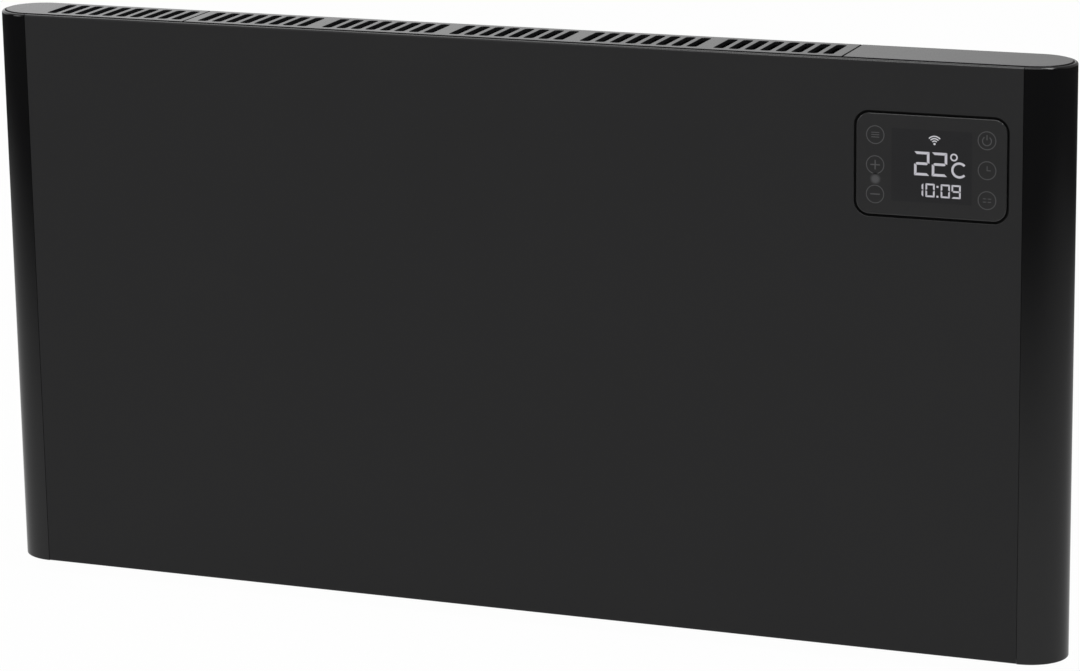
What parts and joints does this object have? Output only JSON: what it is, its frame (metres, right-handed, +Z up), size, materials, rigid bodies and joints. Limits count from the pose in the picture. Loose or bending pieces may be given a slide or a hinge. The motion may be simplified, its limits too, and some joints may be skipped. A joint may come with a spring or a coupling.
{
  "type": "wall panel convector heater",
  "caption": "Slim black wall convector heater with gloss rounded ends, slotted outlet along the top, touch display upper right and a steel wall bracket behind.",
  "frame": {"origin": "middle of the back face of the wall bracket crossbar, on the wall, at half the height and half the width of the heater", "axes": "+Z up, +Y into the wall, so the front panel faces -Y, and +X to the right of a person who looks at the front"},
  "size_m": [0.87, 0.0775, 0.45],
  "materials": {
    "anthracite_panel": "fine matt powder coat, anthracite black",
    "gloss_black_profile": "high gloss black",
    "satin_black_plastic": "satin black moulded plastic",
    "black_steel": "satin black powder-coated sheet steel",
    "black_glass": "clear glass printed black from behind",
    "screen": "dark liquid crystal module",
    "zinc_steel": "zinc-plated steel",
    "spring_steel": "bright spring wire",
    "mill_aluminium": "mill finish",
    "insulator": "off-white steatite, matt",
    "silicone": "brick-red silicone rubber",
    "circuit_board": "green solder mask",
    "relay_case": "blue moulded case",
    "component_amber": "amber tape and case",
    "grey_plastic": "mid-grey moulded plastic"
  },
  "bodies": {
    "heater": {"front_panel": "anthracite_panel", "left_end_profile": "gloss_black_profile", "right_end_profile": "gloss_black_profile", "top_cover_left": "satin_black_plastic", "top_grille": "satin_black_plastic", "top_cover_right": "satin_black_plastic", "display_housing": "satin_black_plastic", "rocker_housing": "satin_black_plastic", "mains_gland": "satin_black_plastic", "gland_nut": "satin_black_plastic", "back_panel": "black_steel", "bottom_intake_grille": "black_steel", "bottom_connection_cover": "black_steel", "bracket_crossbar": "black_steel", "bracket_upright_left": "black_steel", "bracket_upright_right": "black_steel", "display_glass": "black_glass", "display_screen": "screen", "end_screw_left_upper": "zinc_steel", "end_screw_left_lower": "zinc_steel", "end_screw_right_upper": "zinc_steel", "end_screw_right_lower": "zinc_steel", "floor_screw_left": "zinc_steel", "floor_screw_middle": "zinc_steel", "floor_screw_right": "zinc_steel", "bulkhead": "zinc_steel", "heating_rod": "zinc_steel", "thermal_fuse": "zinc_steel", "element_bracket_left": "zinc_steel", "element_bracket_right": "zinc_steel", "room_sensor": "zinc_steel", "wireless_module": "zinc_steel", "bracket_rivet_left_upper": "zinc_steel", "bracket_rivet_left_lower": "zinc_steel", "bracket_rivet_right_upper": "zinc_steel", "bracket_rivet_right_lower": "zinc_steel", "catch_spring_left": "spring_steel", "catch_spring_right": "spring_steel", "element_fins": "mill_aluminium", "heat_baffle": "mill_aluminium", "rod_insulator_left": "insulator", "rod_insulator_right": "insulator", "thermal_cutout": "insulator", "terminal_block": "insulator", "element_bush_left": "silicone", "element_bush_right": "silicone", "element_lead_left": "silicone", "element_lead_right": "silicone", "display_board": "circuit_board", "power_board": "circuit_board", "relay": "relay_case", "transformer": "component_amber", "filter_capacitor": "component_amber", "power_tray": "grey_plastic", "signal_ribbon": "grey_plastic", "sensor_clip": "grey_plastic"},
    "rocker": {"rocker_key": "gloss_black_profile"},
    "left_catch": {"catch_left": "grey_plastic"},
    "right_catch": {"catch_right": "grey_plastic"}
  },
  "joints": [
    {"name": "rocker_switch", "type": "hinge", "parent": "heater", "child": "rocker", "pos_m": [0.367, -0.04875, -0.215], "axis": [0, 1, 0], "range_deg": [-18, 0]},
    {"name": "left_catch_slide", "type": "slide", "parent": "heater", "child": "left_catch", "axis": [0, 0, -1], "range_m": [0, 0.006], "stiffness_N_per_m": 300, "springref_m": -0.008, "deforming": ["catch_spring_left"]},
    {"name": "right_catch_slide", "type": "slide", "parent": "heater", "child": "right_catch", "axis": [0, 0, -1], "range_m": [0, 0.006], "stiffness_N_per_m": 300, "springref_m": -0.008, "deforming": ["catch_spring_right"]}
  ]
}
